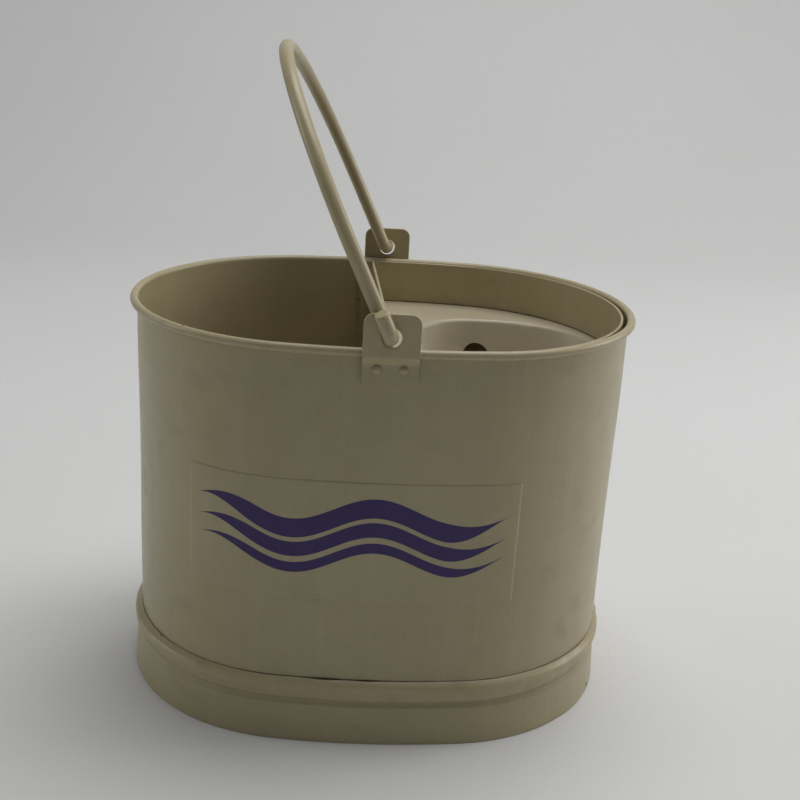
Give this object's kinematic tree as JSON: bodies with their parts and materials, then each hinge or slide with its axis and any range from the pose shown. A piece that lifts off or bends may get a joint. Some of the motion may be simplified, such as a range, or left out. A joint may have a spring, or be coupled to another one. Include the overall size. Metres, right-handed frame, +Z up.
{
  "type": "wash_bucket",
  "caption": "Oval painted-steel wash bucket on a swaged foot hoop, with a wire bail in riveted ears and a fixed wringer bowl in one half.",
  "frame": {"origin": "middle of the foot hoop's underside, on the floor", "axes": "+X along the bucket towards the wringer half, +Y across the bucket from the front ear to the rear ear, +Z up"},
  "size_m": [0.3402, 0.278, 0.4363],
  "materials": {
    "putty_paint": "semi-gloss putty beige enamel on sheet steel",
    "bare_wire": "plain drawn steel wire, hidden in the rim",
    "clear_film": "thin clear self-adhesive film with a dark violet wave print"
  },
  "bodies": {
    "bucket": {"bucket_wall": "putty_paint", "rim_wire": "bare_wire", "base_pan": "putty_paint", "foot_hoop": "putty_paint", "front_ear": "putty_paint", "rear_ear": "putty_paint", "front_ear_rivets": "putty_paint", "rear_ear_rivets": "putty_paint", "wringer_collar": "putty_paint", "wringer_divider": "putty_paint", "wringer_tray": "putty_paint", "label_film": "clear_film"},
    "bail": {"bail_handle": "putty_paint"}
  },
  "joints": [
    {"name": "bail_swing", "type": "hinge", "parent": "bucket", "child": "bail", "pos_m": [0.0023, 0, 0.2787], "axis": [0.014, 0.9999, 0], "range_deg": [-65.6, 116.8]}
  ]
}
